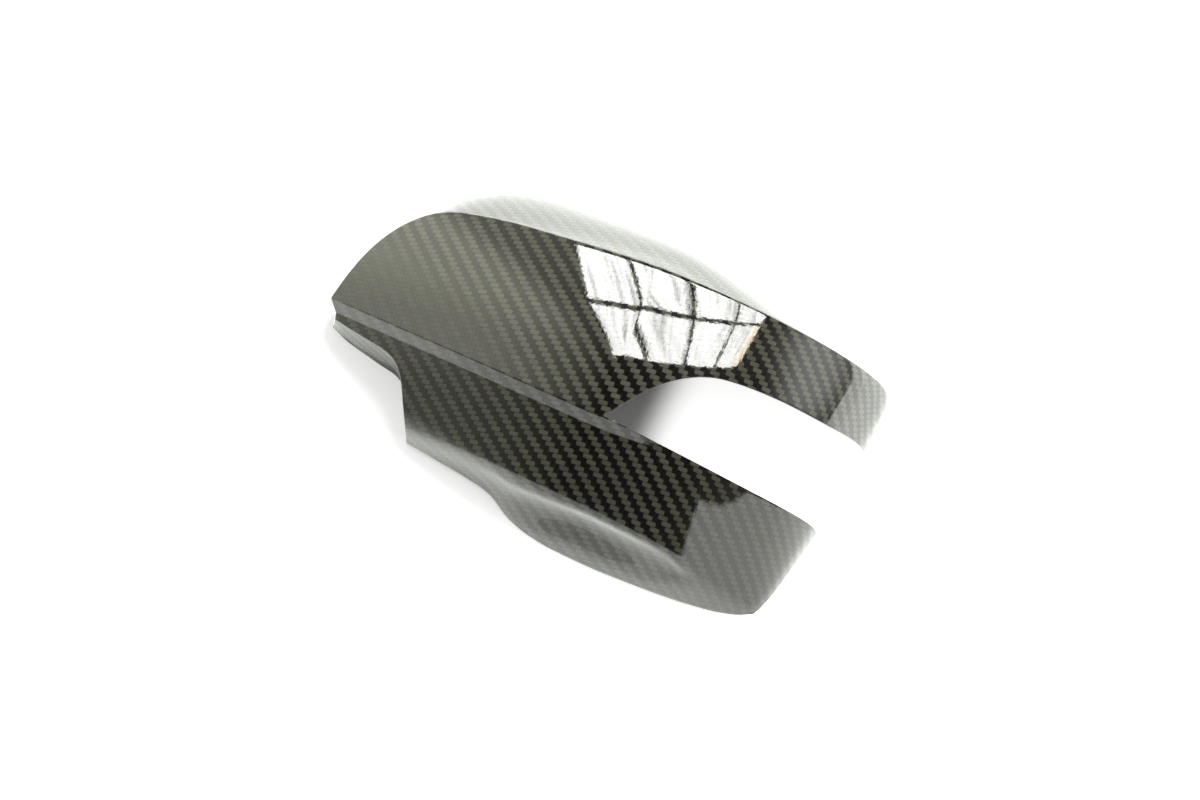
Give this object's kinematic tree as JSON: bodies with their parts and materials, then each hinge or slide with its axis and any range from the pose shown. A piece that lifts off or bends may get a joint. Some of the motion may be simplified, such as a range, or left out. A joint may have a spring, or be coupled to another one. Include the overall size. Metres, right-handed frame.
{
  "type": "wing mirror cover",
  "caption": "Glossy carbon-fibre cover for the outer face of a car's wing mirror, with a slot for the indicator lens and a notch for the mirror foot.",
  "frame": {"origin": "centre of the box round the cover, on the plane of its rim", "axes": "+X outboard, towards the open end of the indicator slot; +Y to the roof of the mirror; +Z away from the mirror housing, towards the outer face"},
  "size_m": [0.2402, 0.1492, 0.0547],
  "materials": {
    "carbon_laminate": "clear-coated 2 by 2 twill carbon fibre"
  },
  "bodies": {
    "root": {"cover_shell": "carbon_laminate"}
  },
  "joints": []
}
